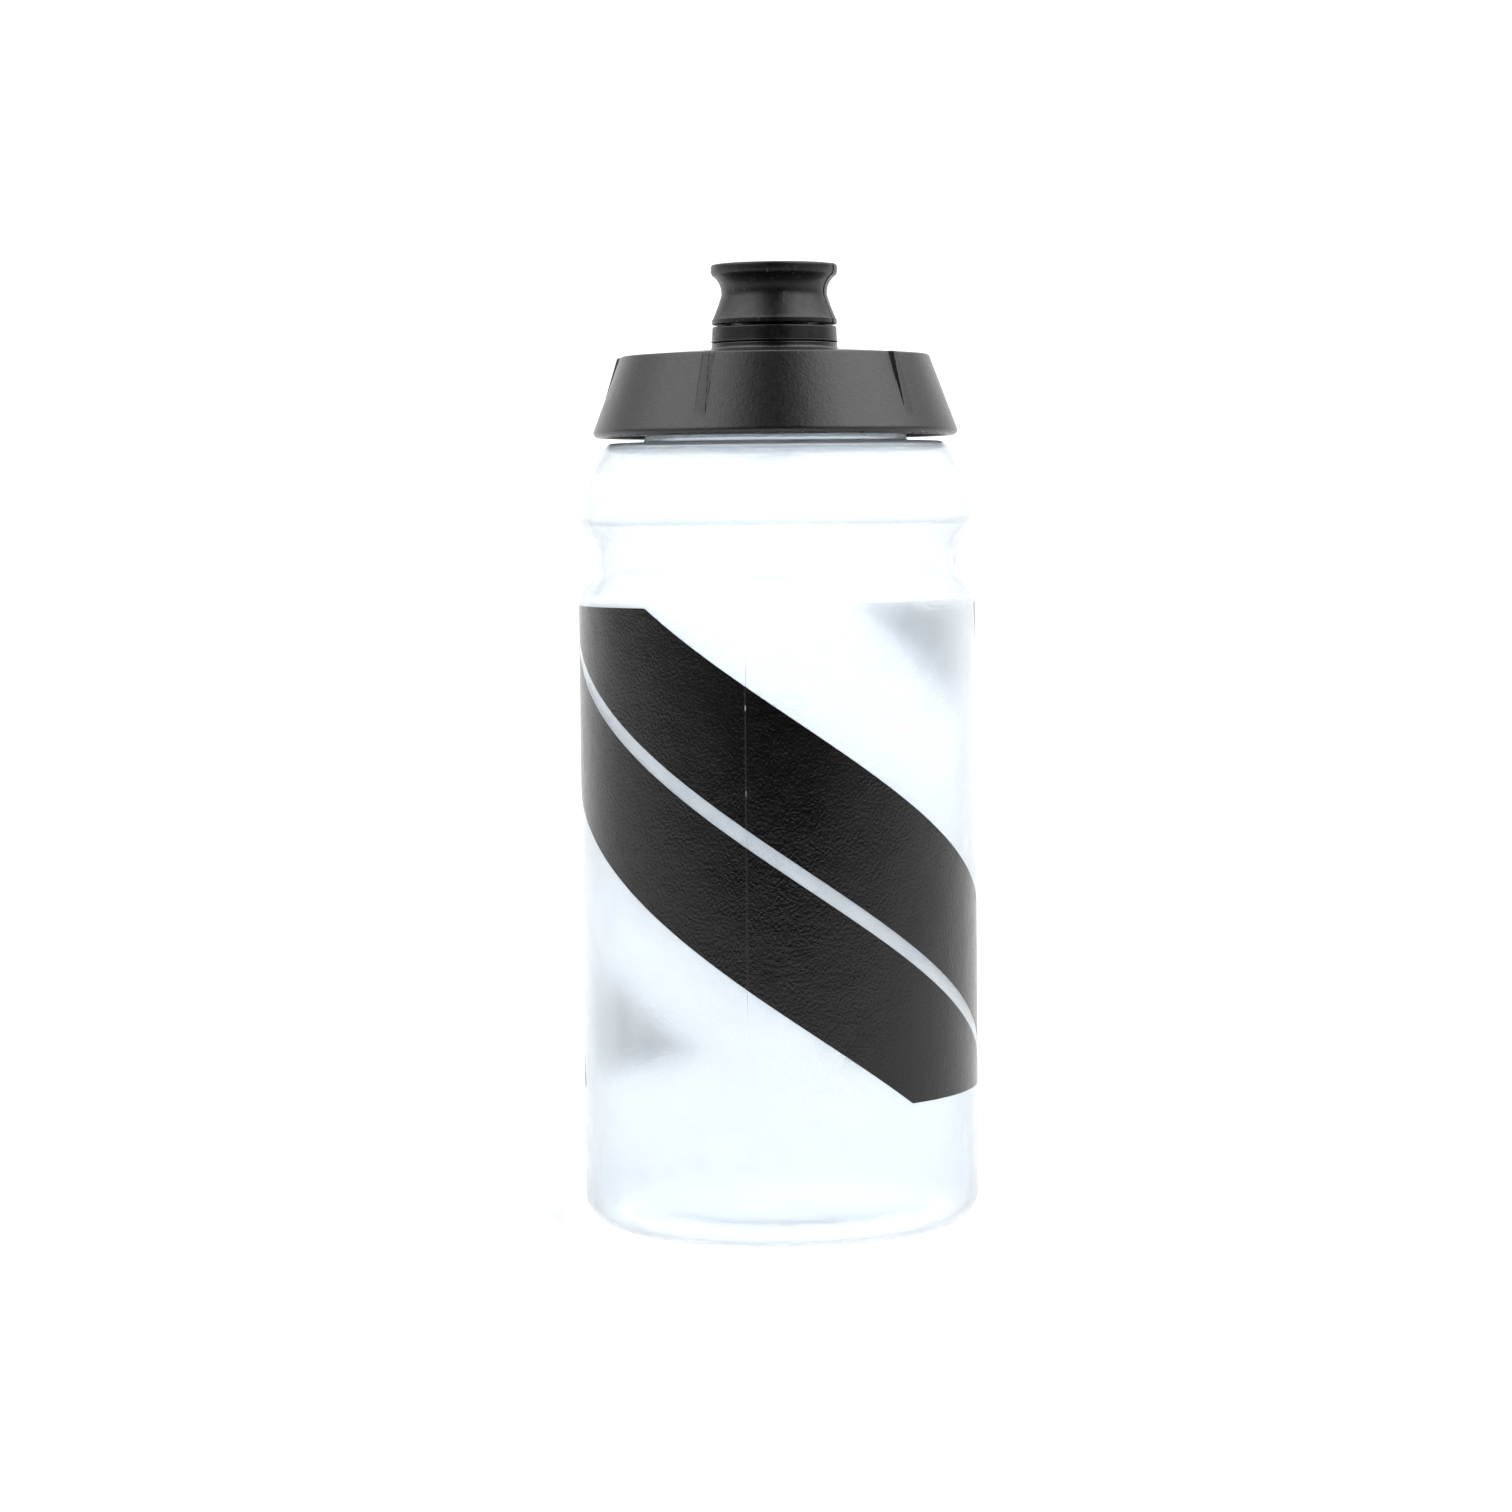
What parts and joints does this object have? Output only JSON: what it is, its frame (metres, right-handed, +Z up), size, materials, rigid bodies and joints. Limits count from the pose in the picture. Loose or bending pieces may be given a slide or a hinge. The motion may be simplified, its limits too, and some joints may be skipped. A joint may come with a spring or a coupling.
{
  "type": "bicycle water bottle",
  "caption": "Soft squeeze bottle for a bicycle cage, with a ribbed conical screw lid and a pull-up drinking nozzle over a self-closing membrane valve.",
  "frame": {"origin": "centre of the foot, in the plane that the bottle stands on", "axes": "+Z up along the bottle's axis; -Y is the front, midway between two of the lid's ribs and beside the bottle's parting line; +X is to the right of it"},
  "size_m": [0.0734, 0.0734, 0.1769],
  "materials": {
    "bottle_plastic": "translucent milky low-density polyethylene, satin, with a fine blow-moulded parting line",
    "lid_plastic": "black moulded polypropylene with a fine matte grain",
    "housing_plastic": "black moulded plastic, slightly smoother than the lid",
    "core_plastic": "hard black plastic under the soft grip",
    "nozzle_rubber": "charcoal soft thermoplastic rubber, satin",
    "seal_rubber": "dark grey seal rubber",
    "membrane_silicone": "milky silicone",
    "print_ink": "black screen-printing ink, semi-gloss, on the barrel only"
  },
  "bodies": {
    "bottle": {"bottle_body": "bottle_plastic"},
    "seal_ring": {"lid_seal": "seal_rubber"},
    "lid": {"lid": "lid_plastic", "valve_housing": "housing_plastic", "housing_seal": "seal_rubber", "valve_membrane": "membrane_silicone", "membrane_retainer": "housing_plastic"},
    "stem_ring": {"nozzle_seal": "seal_rubber"},
    "nozzle": {"nozzle_core": "core_plastic", "nozzle_grip": "nozzle_rubber"}
  },
  "joints": [
    {"name": "lid_rise", "type": "slide", "parent": "bottle", "child": "seal_ring", "axis": [0, 0, 1], "range_m": [0, 0.01501]},
    {"name": "lid_turn", "type": "hinge", "parent": "seal_ring", "child": "lid", "pos_m": [0, 0, 0.15], "axis": [0, 0, 1], "range_deg": [0, 1080]},
    {"name": "nozzle_swivel", "type": "hinge", "parent": "lid", "child": "stem_ring", "pos_m": [0, 0, 0.17], "axis": [0, 0, 1], "continuous": true},
    {"name": "nozzle_pull", "type": "slide", "parent": "stem_ring", "child": "nozzle", "axis": [0, 0, 1], "range_m": [0, 0.005]}
  ],
  "couplings": [
    {"joint": "lid_rise", "follows": "lid_turn", "m_per_rad": 0.00079577}
  ]
}
